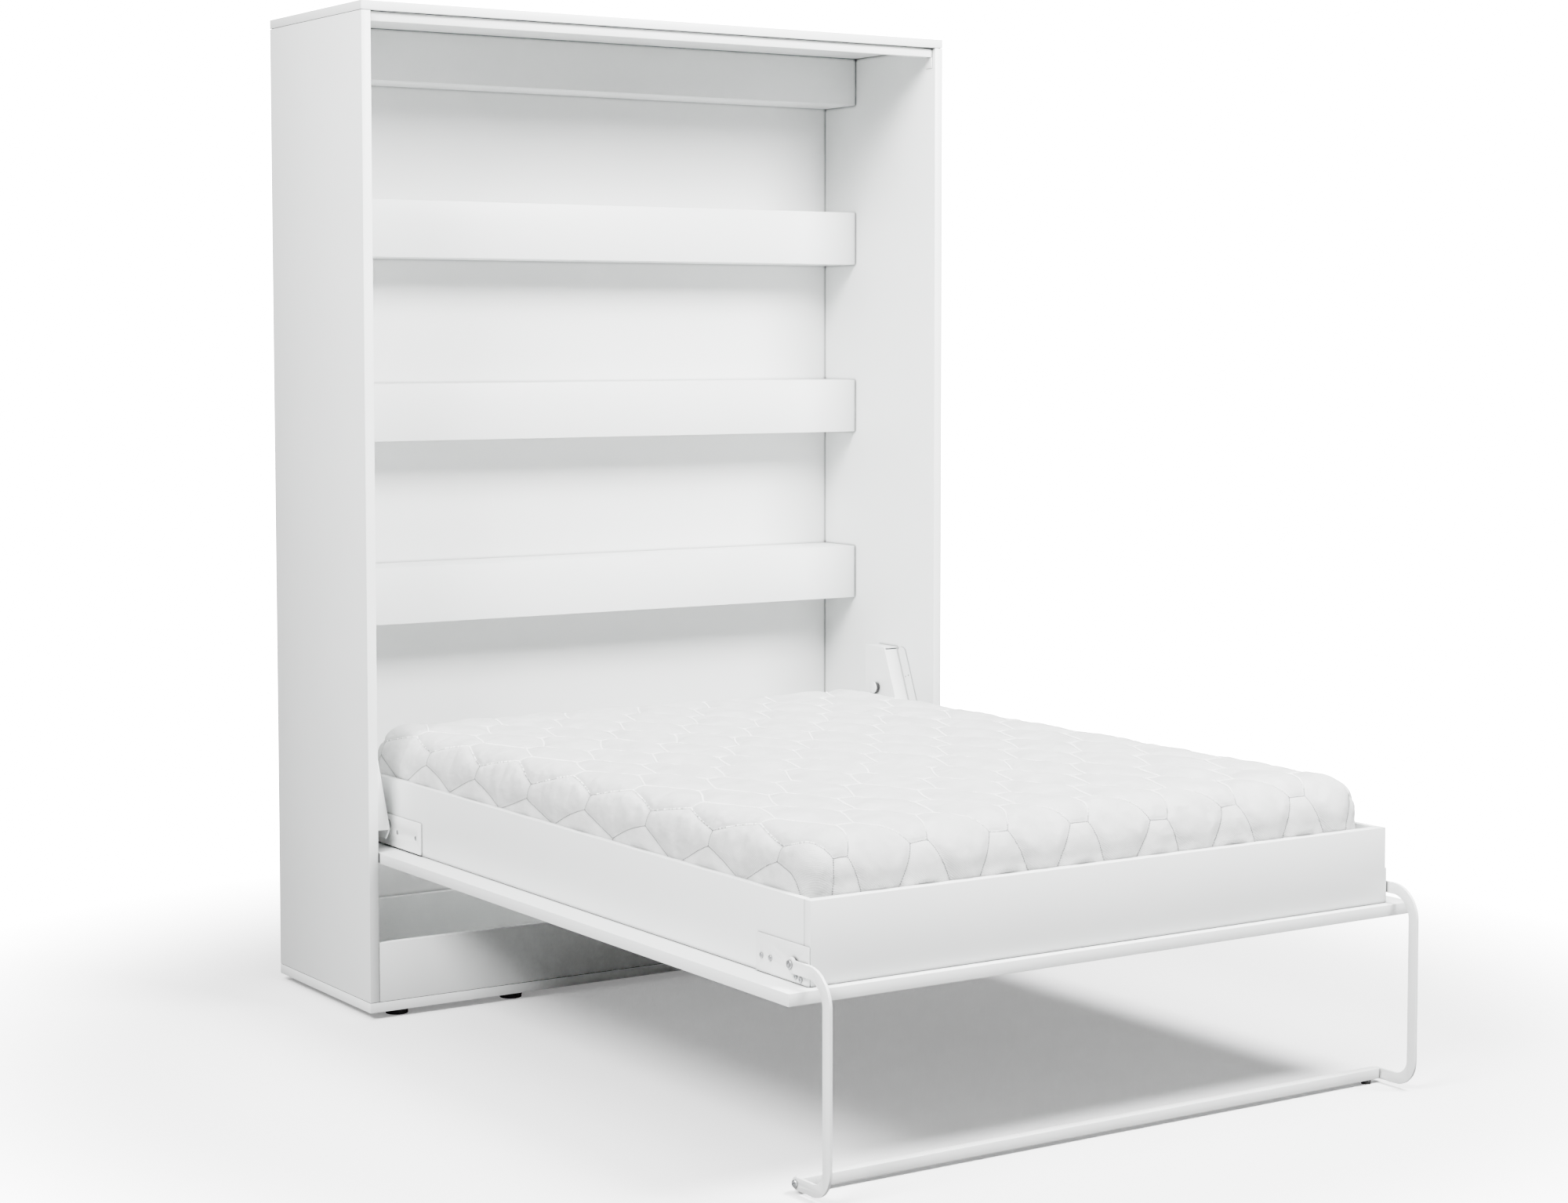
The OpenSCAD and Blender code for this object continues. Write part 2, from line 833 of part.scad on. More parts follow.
// Quarter of a flat ring about a centre, on the side that the signs name
module quarterRing(centre, r, side) {
    reach = r + bar_w;
    translate(centre)
        intersection() {
            difference() {
                circle(r = r + bar_half, $fn = 96);
                circle(r = r - bar_half, $fn = 96);
            }
            translate([side[0] < 0 ? -reach : 0, side[1] < 0 ? -reach : 0])
                square(reach);
        }
}

module legBushes() {
    color(black)
        onBothSides()
            difference() {
                union() {
                    barX(leg_arm_in_x, leg_arm_out_x, leg_pivot_y, leg_pivot_z, leg_bush_r);
                    barX(rail_out_x + plate_t + contact_gap, leg_arm_in_x, leg_pivot_y,
                        leg_pivot_z, leg_bush_r + 3);
                }
                barX(rail_out_x, leg_arm_out_x + cut, leg_pivot_y, leg_pivot_z,
                    leg_bolt_r + fit_clear);
            }
}

module legCrossbar() {
    half = crossbar_s / 2;
    inner = half - crossbar_wall;
    color(steel_white)
        difference() {
            board([-leg_arm_in_x, toe_y - half, crossbar_z - half],
                [leg_arm_in_x, toe_y + half, crossbar_z + half]);
            board([-leg_arm_in_x - cut, toe_y - inner, crossbar_z - inner],
                [leg_arm_in_x + cut, toe_y + inner, crossbar_z + inner]);
        }
}

module crossbarPlugs() {
    inner = crossbar_s / 2 - crossbar_wall;
    color(black)
        onBothSides()
            difference() {
                board([leg_arm_in_x - plug_l, toe_y - inner, crossbar_z - inner],
                    [leg_arm_in_x, toe_y + inner, crossbar_z + inner]);
                barX(leg_arm_in_x - plug_l - cut, leg_arm_in_x + cut, toe_y, crossbar_z,
                    toe_bolt_r);
            }
}

module crossbarBolts() {
    color(zinc)
        onBothSides()
            difference() {
                union() {
                    barX(leg_arm_in_x - plug_l, leg_arm_out_x, toe_y, crossbar_z, toe_bolt_r);
                    barX(leg_arm_out_x, leg_arm_out_x + 5, toe_y, crossbar_z, 7);
                }
                barX(leg_arm_out_x + 2, leg_arm_out_x + 5 + cut, toe_y, crossbar_z, 3);
            }
}

module legFeet() {
    color(black)
        onBothSides()
            translate([leg_arm_in_x - 30, toe_y, 0]) {
                cylinder(r = leg_foot_r - 1, h = leg_foot_h / 2);
                translate([0, 0, leg_foot_h / 2])
                    cylinder(r = leg_foot_r, h = leg_foot_h / 2);
            }
}

inFrame() onSide(-1) sidePanel();  // side_panel_left
inFrame() onSide(1) sidePanel();  // side_panel_right
inFrame() topPanel();  // top_panel
inFrame() bottomPanel();  // bottom_panel
inFrame() backPanel();  // back_panel
inFrame() plinthFascia();  // plinth_fascia
inFrame() rearPlinthRail();  // rear_plinth_rail
inFrame() railFace(top_rail_z, top_rail_h);  // top_rail_face
inFrame() railFace(lower_rail_z + 2 * rail_pitch, cross_rail_h);  // upper_rail_face
inFrame() railFace(lower_rail_z + rail_pitch, cross_rail_h);  // middle_rail_face
inFrame() railFace(lower_rail_z, cross_rail_h);  // lower_rail_face
inFrame() railTopBoards();  // rail_top_boards
inFrame() railBaseBoards();  // rail_base_boards
inFrame() wallFixingBatten();  // wall_fixing_batten
inFrame() stopStrip();  // stop_strip
inFrame() catchPlates();  // catch_plates
inFrame() cabinetFeet();  // cabinet_feet
inFrame() footScrews();  // foot_screws
inFrame() cabinetConnectors();  // cabinet_connectors
inFrame() onSide(-1) pivotBracket();  // pivot_bracket_left
inFrame() onSide(1) pivotBracket();  // pivot_bracket_right
inFrame() bracketScrews();  // bracket_screws
inFrame() onSide(-1) pivotPin();  // pivot_pin_left
inFrame() onSide(1) pivotPin();  // pivot_pin_right
inFrame() strutStudsUpper();  // strut_studs_upper
inFrame() frontBoard();  // front_board
inFrame() onSide(-1) sideRail();  // side_rail_left
inFrame() onSide(1) sideRail();  // side_rail_right
inFrame() footboard();
inFrame() headRail();  // head_rail
inFrame() onSide(-1) slatLedge();  // slat_ledge_left
inFrame() onSide(1) slatLedge();  // slat_ledge_right
inFrame() centreBeam();  // centre_beam
inFrame() bedSlats();  // bed_slats
inFrame() slatHolders();  // slat_holders
inFrame() mattress();
inFrame() onSide(-1) hingePlate();  // hinge_plate_left
inFrame() onSide(1) hingePlate();  // hinge_plate_right
inFrame() hingePlateScrews();  // hinge_plate_screws
inFrame() pivotBushes();  // pivot_bushes
inFrame() strutStudsLower();  // strut_studs_lower
inFrame() onSide(-1) legPlate();  // leg_plate_left
inFrame() onSide(1) legPlate();  // leg_plate_right
inFrame() legPlateScrews();  // leg_plate_screws
inFrame() legPivotBolts();  // leg_pivot_bolts
inFrame() onSide(-1) strutBarrel();  // strut_barrel_left
inFrame() onSide(1) strutBarrel();  // strut_barrel_right
inFrame() onSide(-1) strutRod();  // strut_rod_left
inFrame() onSide(1) strutRod();  // strut_rod_right
inFrame() onSide(-1) strutEnd();  // strut_end_left
inFrame() onSide(1) strutEnd();  // strut_end_right
inFrame() onSide(-1) legArm();  // leg_arm_left
inFrame() onSide(1) legArm();  // leg_arm_right
inFrame() legBushes();  // leg_bushes
inFrame() legCrossbar();  // leg_crossbar
inFrame() crossbarPlugs();  // crossbar_plugs
inFrame() crossbarBolts();  // crossbar_bolts
inFrame() legFeet();  // leg_feet
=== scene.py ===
import math
import bpy
import bmesh
import numpy as np
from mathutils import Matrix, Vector
from mathutils.bvhtree import BVHTree
from mathutils.interpolate import poly_3d_calc


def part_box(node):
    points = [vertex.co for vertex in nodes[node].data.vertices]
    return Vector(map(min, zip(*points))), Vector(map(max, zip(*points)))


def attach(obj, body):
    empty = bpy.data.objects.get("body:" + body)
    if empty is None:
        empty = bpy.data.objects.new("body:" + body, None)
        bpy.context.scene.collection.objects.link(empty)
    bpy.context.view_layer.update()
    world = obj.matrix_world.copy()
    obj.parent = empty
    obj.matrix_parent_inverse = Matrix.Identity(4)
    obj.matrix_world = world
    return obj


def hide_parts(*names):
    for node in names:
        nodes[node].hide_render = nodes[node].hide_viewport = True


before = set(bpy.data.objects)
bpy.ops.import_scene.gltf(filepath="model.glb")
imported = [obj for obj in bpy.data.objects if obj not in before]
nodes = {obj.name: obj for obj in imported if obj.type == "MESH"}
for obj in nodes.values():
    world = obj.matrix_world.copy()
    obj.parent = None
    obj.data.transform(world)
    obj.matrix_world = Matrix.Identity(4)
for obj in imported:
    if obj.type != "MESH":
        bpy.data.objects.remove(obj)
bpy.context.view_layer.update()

weldDistance = 0.00001


def deselectAll():
    if bpy.context.object and bpy.context.object.mode != "OBJECT":
        bpy.ops.object.mode_set(mode="OBJECT")
    bpy.ops.object.select_all(action="DESELECT")


def pickOnly(obj):
    deselectAll()
    obj.select_set(True)
    bpy.context.view_layer.objects.active = obj


def settle(obj):
    # the piece's place goes into its mesh
    pickOnly(obj)
    bpy.ops.object.transform_apply(location=True, rotation=True, scale=True)


def applyModifier(obj, kind, **settings):
    pickOnly(obj)
    modifier = obj.modifiers.new(kind.title(), kind)
    for key, value in settings.items():
        setattr(modifier, key, value)
    bpy.ops.object.modifier_apply(modifier=modifier.name)


def softenEdges(obj, width, segments=2, angle=30):
    applyModifier(obj, "BEVEL", width=width, segments=segments, limit_method="ANGLE",
                  angle_limit=math.radians(angle), harden_normals=False)
    pickOnly(obj)
    bpy.ops.object.shade_smooth_by_angle(angle=math.radians(35))


def joinPieces(pieces, name):
    deselectAll()
    for piece in pieces:
        piece.select_set(True)
    bpy.context.view_layer.objects.active = pieces[0]
    bpy.ops.object.join()
    joined = pieces[0]
    joined.name = name
    joined.data.name = name
    return joined


def dress(obj, material):
    obj.data.materials.clear()
    obj.data.materials.append(material)


def standIn(obj, body, *cadNodes):
    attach(obj, body)
    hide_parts(*cadNodes)


def newMaterial(name):
    material = bpy.data.materials.new(name)
    material.use_nodes = True
    tree = material.node_tree
    shader = tree.nodes["Principled BSDF"]
    coord = tree.nodes.new("ShaderNodeTexCoord")
    return material, tree, shader, coord


def addNoise(tree, coord, scale, detail=3.0, roughness=0.5, stretch=(1, 1, 1)):
    mapping = tree.nodes.new("ShaderNodeMapping")
    mapping.inputs["Scale"].default_value = stretch
    noise = tree.nodes.new("ShaderNodeTexNoise")
    noise.inputs["Scale"].default_value = scale
    noise.inputs["Detail"].default_value = detail
    noise.inputs["Roughness"].default_value = roughness
    tree.links.new(coord.outputs["Object"], mapping.inputs["Vector"])
    tree.links.new(mapping.outputs["Vector"], noise.inputs["Vector"])
    return noise


def addRamp(tree, source, low, high, start=0.3, end=0.7):
    ramp = tree.nodes.new("ShaderNodeValToRGB")
    ramp.color_ramp.elements[0].position = start
    ramp.color_ramp.elements[1].position = end
    ramp.color_ramp.elements[0].color = (*low, 1)
    ramp.color_ramp.elements[1].color = (*high, 1)
    tree.links.new(source, ramp.inputs["Fac"])
    return ramp


def addBump(tree, shader, height, strength, distance):
    bump = tree.nodes.new("ShaderNodeBump")
    bump.inputs["Strength"].default_value = strength
    bump.inputs["Distance"].default_value = distance
    tree.links.new(height, bump.inputs["Height"])
    tree.links.new(bump.outputs["Normal"], shader.inputs["Normal"])
    return bump


def addMultiply(tree, first, second):
    mix = tree.nodes.new("ShaderNodeMix")
    mix.data_type = "RGBA"
    mix.blend_type = "MULTIPLY"
    mix.inputs["Factor"].default_value = 1.0
    tree.links.new(first, mix.inputs[6])
    tree.links.new(second, mix.inputs[7])
    return mix.outputs[2]


def addContactShade(tree, colour, reach, deepest):
    # painted shade: ambient occlusion darkens the colour in joints and corners, so they are
    # darker than open faces
    near = tree.nodes.new("ShaderNodeAmbientOcclusion")
    near.samples = 6
    near.inputs["Distance"].default_value = reach
    shade = addRamp(tree, near.outputs["AO"], (deepest,) * 3, (1, 1, 1), 0.3, 0.85)
    return addMultiply(tree, colour, shade.outputs["Color"])


def surfaceMaterial(name, finish):
    # a plain finish: slow colour change, fine grain in roughness and relief
    material, tree, shader, coord = newMaterial(name)
    stretch = finish.get("stretch", (1, 1, 1))
    tone = addNoise(tree, coord, finish["toneScale"], 4, 0.55, stretch)
    colour = addRamp(tree, tone.outputs["Fac"], finish["dark"], finish["light"]).outputs["Color"]
    # painted shade in joints and corners, where the finish sets cornerShade
    if "cornerShade" in finish:
        colour = addContactShade(tree, colour, finish["cornerReach"], finish["cornerShade"])
    tree.links.new(colour, shader.inputs["Base Color"])
    grain = addNoise(tree, coord, finish["grainScale"], 3, 0.5, stretch)
    low, high = finish["roughness"]
    rough = addRamp(tree, grain.outputs["Fac"], (low,) * 3, (high,) * 3)
    tree.links.new(rough.outputs["Color"], shader.inputs["Roughness"])
    addBump(tree, shader, grain.outputs["Fac"], finish["relief"], finish["reliefDepth"])
    shader.inputs["Metallic"].default_value = finish.get("metallic", 0.0)
    shader.inputs["Specular IOR Level"].default_value = finish.get("specular", 0.5)
    shader.inputs["Coat Weight"].default_value = finish.get("coat", 0.0)
    shader.inputs["Coat Roughness"].default_value = 0.2
    return material


# cornerShade and cornerReach set how dark and how wide the painted shade in joints and corners is
finishes = {
    "whiteMelamine": dict(toneScale=3.5, grainScale=900, dark=(0.785, 0.8, 0.795),
                          light=(0.81, 0.822, 0.818), roughness=(0.36, 0.46),
                          relief=0.12, reliefDepth=0.0004, specular=0.45,
                          cornerReach=0.01, cornerShade=0.06),
    "whiteBackBoard": dict(toneScale=2.5, grainScale=1100, dark=(0.79, 0.8, 0.796),
                           light=(0.815, 0.822, 0.818), roughness=(0.5, 0.6),
                           relief=0.1, reliefDepth=0.0004, specular=0.35,
                           cornerReach=0.01, cornerShade=0.3),
    "powderCoat": dict(toneScale=12, grainScale=1600, dark=(0.76, 0.77, 0.765),
                       light=(0.8, 0.81, 0.805), roughness=(0.3, 0.42),
                       relief=0.25, reliefDepth=0.0003, specular=0.5,
                       cornerReach=0.008, cornerShade=0.03),
    "zincPlate": dict(toneScale=60, grainScale=2200, dark=(0.45, 0.46, 0.47),
                      light=(0.62, 0.63, 0.64), roughness=(0.28, 0.42),
                      relief=0.15, reliefDepth=0.0002, metallic=1.0),
    "polishedRod": dict(toneScale=40, grainScale=1500, dark=(0.68, 0.69, 0.7),
                        light=(0.75, 0.76, 0.77), roughness=(0.08, 0.14), stretch=(1, 1, 0.1),
                        relief=0.05, reliefDepth=0.0001, metallic=1.0),
    "blackPaint": dict(toneScale=30, grainScale=1400, dark=(0.012, 0.012, 0.013),
                       light=(0.022, 0.022, 0.023), roughness=(0.3, 0.4),
                       relief=0.2, reliefDepth=0.0002),
    "blackPlastic": dict(toneScale=40, grainScale=1800, dark=(0.012, 0.012, 0.012),
                         light=(0.026, 0.026, 0.026), roughness=(0.45, 0.6),
                         relief=0.4, reliefDepth=0.0003),
    "whitePlastic": dict(toneScale=30, grainScale=1500, dark=(0.78, 0.78, 0.77),
                         light=(0.82, 0.82, 0.81), roughness=(0.35, 0.45),
                         relief=0.2, reliefDepth=0.0002),
    "rubber": dict(toneScale=50, grainScale=2500, dark=(0.015, 0.015, 0.015),
                   light=(0.03, 0.03, 0.03), roughness=(0.7, 0.85),
                   relief=0.5, reliefDepth=0.0004),
}
materials = {name: surfaceMaterial(name, finish) for name, finish in finishes.items()}


def timberMaterial():
    # softwood: rings stretched along the board
    material, tree, shader, coord = newMaterial("slatTimber")
    rings = addNoise(tree, coord, 9, 5, 0.6, (0.25, 6, 6))
    fibres = addNoise(tree, coord, 120, 4, 0.6, (0.15, 5, 5))
    mix = tree.nodes.new("ShaderNodeMath")
    mix.operation = "MULTIPLY_ADD"
    mix.inputs[1].default_value = 0.35
    tree.links.new(fibres.outputs["Fac"], mix.inputs[0])
    tree.links.new(rings.outputs["Fac"], mix.inputs[2])
    colour = addRamp(tree, mix.outputs["Value"], (0.42, 0.27, 0.13), (0.72, 0.54, 0.33), 0.4, 0.9)
    tree.links.new(colour.outputs["Color"], shader.inputs["Base Color"])
    shader.inputs["Roughness"].default_value = 0.6
    addBump(tree, shader, fibres.outputs["Fac"], 0.3, 0.0005)
    return material


def setGloss(shader, finish):
    shader.inputs["Roughness"].default_value = finish["roughness"]
    shader.inputs["Specular IOR Level"].default_value = finish["specular"]
    shader.inputs["Sheen Weight"].default_value = finish["sheen"]
    shader.inputs["Sheen Roughness"].default_value = finish["sheenRoughness"]


def quiltMaterial(finish):
    # knitted cover: fine ribs over soft creases
    material, tree, shader, coord = newMaterial("quiltedKnit")
    tone = addNoise(tree, coord, 14, 5, 0.6)
    colour = addRamp(tree, tone.outputs["Fac"], finish["dark"], finish["light"])
    tree.links.new(colour.outputs["Color"], shader.inputs["Base Color"])
    rib = tree.nodes.new("ShaderNodeTexWave")
    rib.wave_type = "BANDS"
    rib.bands_direction = "DIAGONAL"
    rib.inputs["Scale"].default_value = finish["ribScale"]
    rib.inputs["Distortion"].default_value = 1.2
    rib.inputs["Detail"].default_value = 1.0
    rib.inputs["Detail Scale"].default_value = 30
    tree.links.new(coord.outputs["Object"], rib.inputs["Vector"])
    crease = addNoise(tree, coord, 55, 4, 0.55, (1, 0.5, 1))
    height = tree.nodes.new("ShaderNodeMath")
    height.operation = "MULTIPLY_ADD"
    height.inputs[1].default_value = 0.12
    tree.links.new(rib.outputs["Fac"], height.inputs[0])
    tree.links.new(crease.outputs["Fac"], height.inputs[2])
    addBump(tree, shader, height.outputs["Value"], finish["relief"], finish["reliefDepth"])
    setGloss(shader, finish)
    return material


def threadMaterial(finish):
    material, tree, shader, coord = newMaterial("quiltThread")
    lying = tree.nodes.new("ShaderNodeAttribute")
    lying.attribute_name = "lying"  # 1 on the top of the cover, 0 down its sides
    twist = addNoise(tree, coord, 1500, 2, 0.5)
    white = addRamp(tree, twist.outputs["Fac"], finish["dark"], finish["light"])
    # painted shade: the thread is darkened where the cover faces sideways, and stays light where
    # it lies on top
    paintedSideShade = addRamp(tree, lying.outputs["Fac"], finish["paintedShadeDownSide"], (1, 1, 1), 0.1, 0.9)
    tone = addMultiply(tree, white.outputs["Color"], paintedSideShade.outputs["Color"])
    tree.links.new(tone, shader.inputs["Base Color"])
    setGloss(shader, finish)
    return material


quiltFinish = dict(dark=(0.5, 0.506, 0.502), light=(0.62, 0.627, 0.623), ribScale=140,
                   relief=0.5, reliefDepth=0.006, roughness=0.72, specular=0.4,
                   sheen=0.06, sheenRoughness=0.4)
# silky thread, with painted shade that darkens it down the sides of the cover
threadFinish = dict(dark=(0.92, 0.93, 0.92), light=(0.97, 0.97, 0.97),
                    paintedShadeDownSide=(0.1, 0.102, 0.1), roughness=0.35, specular=0.9,
                    sheen=1.0, sheenRoughness=0.25)
materials["timber"] = timberMaterial()
materials["quilt"] = quiltMaterial(quiltFinish)
materials["thread"] = threadMaterial(threadFinish)
print("materials are ready")


# boards: each starts as a cube of the board's size and gets its eased edges
boardParts = {
    "cabinet": {
        "edge": 0.0009, "gap": 0.0005, "material": "whiteMelamine",
        "nodes": ["side_panel_left", "side_panel_right", "top_panel", "bottom_panel",
                  "plinth_fascia", "rear_plinth_rail", "top_rail_face", "upper_rail_face",
                  "middle_rail_face", "lower_rail_face", "stop_strip"],
    },
    "bed": {
        "edge": 0.0009, "gap": 0.0005, "material": "whiteMelamine",
        "nodes": ["front_board", "side_rail_left", "side_rail_right", "footboard",
                  "head_rail"],
    },
}


def boxPiece(name, low, high, gap=0.0):
    deselectAll()
    size = [h - l - 2 * gap for l, h in zip(low, high)]
    middle = [(l + h) / 2 for l, h in zip(low, high)]
    bpy.ops.mesh.primitive_cube_add(size=1, location=middle, scale=size)
    obj = bpy.context.object
    obj.name = name
    obj.data.name = name
    settle(obj)
    return obj


def makeBoard(node, edge, gap):
    low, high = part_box(node)
    obj = boxPiece(node + "_board", low, high, gap)
    softenEdges(obj, edge, 2)
    return obj


for body, group in boardParts.items():
    for node in group["nodes"]:
        piece = makeBoard(node, group["edge"], group["gap"])
        dress(piece, materials[group["material"]])
        standIn(piece, body, node)
print("boards are made")


# the small parts keep their shape from the frame: body, width of the eased edge, finish
easedParts = {
    "rail_top_boards": ("cabinet", 0.0008, "whiteMelamine"),
    "rail_base_boards": ("cabinet", 0.0008, "whiteMelamine"),
    "hinge_plate_left": ("bed", 0.0005, "powderCoat"),
    "hinge_plate_right": ("bed", 0.0005, "powderCoat"),
    "leg_plate_left": ("bed", 0.0005, "powderCoat"),
    "leg_plate_right": ("bed", 0.0005, "powderCoat"),
    "leg_arm_left": ("leg", 0.0012, "powderCoat"),
    "leg_arm_right": ("leg", 0.0012, "powderCoat"),
    "leg_crossbar": ("leg", 0.0012, "powderCoat"),
    "cabinet_feet": ("cabinet", 0.001, "blackPlastic"),
    "leg_feet": ("leg", 0.0015, "rubber"),
    "catch_plates": ("cabinet", 0.0008, "whitePlastic"),
    "slat_ledge_left": ("bed", 0.001, "timber"),
    "slat_ledge_right": ("bed", 0.001, "timber"),
    "centre_beam": ("bed", 0.001, "timber"),
    "bed_slats": ("bed", 0.0015, "timber"),
    "wall_fixing_batten": ("cabinet", 0.001, "timber"),
    "strut_studs_upper": ("cabinet", 0.0008, "powderCoat"),
    "strut_studs_lower": ("bed", 0.0005, "zincPlate"),
    "pivot_pin_left": ("cabinet", 0.0005, "zincPlate"),
    "pivot_pin_right": ("cabinet", 0.0005, "zincPlate"),
}


def easedCopy(node, width):
    obj = nodes[node].copy()
    obj.data = nodes[node].data.copy()
    obj.parent = None
    obj.name = node + "_eased"
    for key in list(obj.keys()):  # the frame's own notes stay on its node
        del obj[key]
    bpy.context.scene.collection.objects.link(obj)
    obj.hide_render = False
    obj.hide_set(False)
    pickOnly(obj)
    bpy.ops.object.mode_set(mode="EDIT")
    bpy.ops.mesh.select_all(action="SELECT")
    bpy.ops.mesh.remove_doubles(threshold=weldDistance)
    bpy.ops.mesh.dissolve_limited(angle_limit=math.radians(0.5))
    bpy.ops.mesh.normals_make_consistent(inside=False)
    bpy.ops.object.mode_set(mode="OBJECT")
    softenEdges(obj, width, 2, 50)
    return obj


for node, (body, width, finish) in easedParts.items():
    piece = easedCopy(node, width)
    dress(piece, materials[finish])
    standIn(piece, body, node)
print("small parts are eased")


# screws: one head of each kind is modelled and copied
screwKinds = {
    "legPlateScrews": dict(node="leg_plate_screws", body="bed", radius=0.0052, height=0.0026,
                           socket=0.0027, depth=0.0017),
    "hingePlateScrews": dict(node="hinge_plate_screws", body="bed", radius=0.0039,
                             height=0.0035, socket=0.0022, depth=0.0025),
    "legPivotBolts": dict(node="leg_pivot_bolts", body="bed", radius=0.008, height=0.0037,
                          socket=0.0034, depth=0.002),
    "crossbarBolts": dict(node="crossbar_bolts", body="leg", radius=0.007, height=0.005,
                          socket=0.0034, depth=0.003),
}


screwShape = {"sides": 40, "rounding": 0.0009, "roundingShare": 0.3}


def screwHead(kind):
    # round head with a hexagon socket, facing +X
    deselectAll()
    bpy.ops.mesh.primitive_cylinder_add(vertices=screwShape["sides"], radius=kind["radius"],
                                        depth=kind["height"],
                                        location=(kind["height"] / 2, 0, 0),
                                        rotation=(0, math.radians(90), 0))
    head = bpy.context.object
    settle(head)
    rounding = min(screwShape["rounding"], kind["height"] * screwShape["roundingShare"])
    applyModifier(head, "BEVEL", width=rounding, segments=3,
                  limit_method="ANGLE", angle_limit=math.radians(50))
    deselectAll()
    bpy.ops.mesh.primitive_cylinder_add(vertices=6, radius=kind["socket"],
                                        depth=kind["depth"] * 2,
                                        location=(kind["height"], 0, 0),
                                        rotation=(0, math.radians(90), 0))
    socket = bpy.context.object
    settle(socket)
    applyModifier(head, "BOOLEAN", operation="DIFFERENCE", object=socket, solver="EXACT")
    bpy.data.objects.remove(socket, do_unlink=True)
    pickOnly(head)
    bpy.ops.object.shade_smooth_by_angle(angle=math.radians(30))
    return head


def headSpots(node):
    # middle of the outer face of each separate screw in the frame
    mesh = nodes[node].data
    work = bmesh.new()
    work.from_mesh(mesh)
    bmesh.ops.remove_doubles(work, verts=work.verts, dist=weldDistance)
    left = set(work.verts)
    spots = []
    while left:
        first = left.pop()
        island, stack = [first], [first]
        while stack:
            for edge in stack.pop().link_edges:
                for vert in edge.verts:
                    if vert in left:
                        left.discard(vert)
                        island.append(vert)
                        stack.append(vert)
        points = np.array([v.co for v in island])
        low, high = points.min(axis=0), points.max(axis=0)
        middle = (low + high) / 2
        side = 1 if middle[0] > 0 else -1
        outer = high[0] if side > 0 else low[0]
        spots.append((side, outer, middle[1], middle[2]))
    work.free()
    return spots


for name, kind in screwKinds.items():
    head = screwHead(kind)
    copies = []
    for side, outer, y, z in headSpots(kind["node"]):
        copy = head.copy()
        copy.data = head.data.copy()
        bpy.context.scene.collection.objects.link(copy)
        if side < 0:
            copy.rotation_euler = (0, 0, math.pi)
        copy.location = (outer - side * kind["height"], y, z)
        settle(copy)
        copies.append(copy)
    bpy.data.objects.remove(head, do_unlink=True)
    screws = joinPieces(copies, name)
    dress(screws, materials["zincPlate"])
    standIn(screws, kind["body"], kind["node"])
print("screws are placed")


# what stays as it is in the frame still gets its finish
keptFinish = {
    "back_panel": "whiteBackBoard",
    "pivot_bracket_left": "powderCoat", "pivot_bracket_right": "powderCoat",
    "foot_screws": "zincPlate", "cabinet_connectors": "zincPlate", "bracket_screws": "zincPlate",
    "slat_holders": "blackPlastic", "pivot_bushes": "blackPlastic", "leg_bushes": "blackPlastic",
    "crossbar_plugs": "blackPlastic",
    "strut_barrel_left": "blackPaint", "strut_barrel_right": "blackPaint",
    "strut_rod_left": "polishedRod", "strut_rod_right": "polishedRod",
    "strut_end_left": "zincPlate", "strut_end_right": "zincPlate",
}
for node, finish in keptFinish.items():
    dress(nodes[node], materials[finish])


# mattress: a padded block, quilted in long hexagons that run over its edges
mattressShape = {
    "round": 0.078,  # rounding of the corners and the top edges
    "puffRoom": 0.004,  # the block starts lower by this much, and the cells puff up
    "plainEdge": 0.02,  # no quilting this close to the underside
    "voxel": 0.011,
    "cellPitch": 0.1917,  # from one short seam to the next in a row
    "shortSeam": 0.043,
    "cellLength": 0.245,
    "rowStart": -0.643,  # x of the first short seam
    "footStart": -1.0286,  # distance along the bed of the short seams at the foot
    "sideStretch": 1.273,
    "valley": 0.0045, "valleyWidth": 0.014, "valleyCurve": 1.2,  # along each seam
    "crease": 0.002, "creaseWidth": 0.005,  # sharper line in the valley's floor
    "pinWidth": 0.009,  # the cloth is held this close to a seam
    "puffCap": 0.006,  # the furthest that the cloth may move
    "railRoom": 0.0008, "openRoom": 0.006, "topRoom": 0.008,  # how far it may bulge
    "railMargin": 0.004,  # height above the side rails where it becomes free
    "clothFrames": 20,
    "pressure": 4.0,
    "extraCloth": 0.02,
    "stitch": 0.0042,
    "stitchGap": 0.0007,
    "plainSides": 0.03,  # no stitches this close to the underside
    "searchReach": 0.003, "offCover": 0.0008,  # a stitch further off the pattern is left out
    "shortestStitch": 0.001, "longestStitch": 0.02,
    "fullFrom": 0.22, "fullTo": 0.78,  # share of a stitch's length where it is full
    "tuck": 0.6, "lift": 0.35, "flattened": 0.8,  # as shares of the thread's thickness
    "thread": (0.0011, 0.0024),  # down the sides, and on the top
    "threadTurn": (0.55, 0.9),  # how far the cover faces up where each thickness is reached
    "overhang": 0.32,  # how far the pattern runs past the top at each side
}


def patternWarp(u, v):
    # the quilting machine's small wander
    du = 0.007 * np.sin(v * 9.1 + 1.0) + 0.004 * np.sin(v * 21.0 + u * 8.0)
    dv = 0.008 * np.sin(u * 7.7 + 0.4) + 0.004 * np.sin(u * 17.0 - v * 5.0)
    return u + du, v + dv


def unwarp(u, v):
    a, b = u, v
    for _ in range(8):
        wu, wv = patternWarp(a, b)
        a, b = a + (u - wu), b + (v - wv)
    return a, b


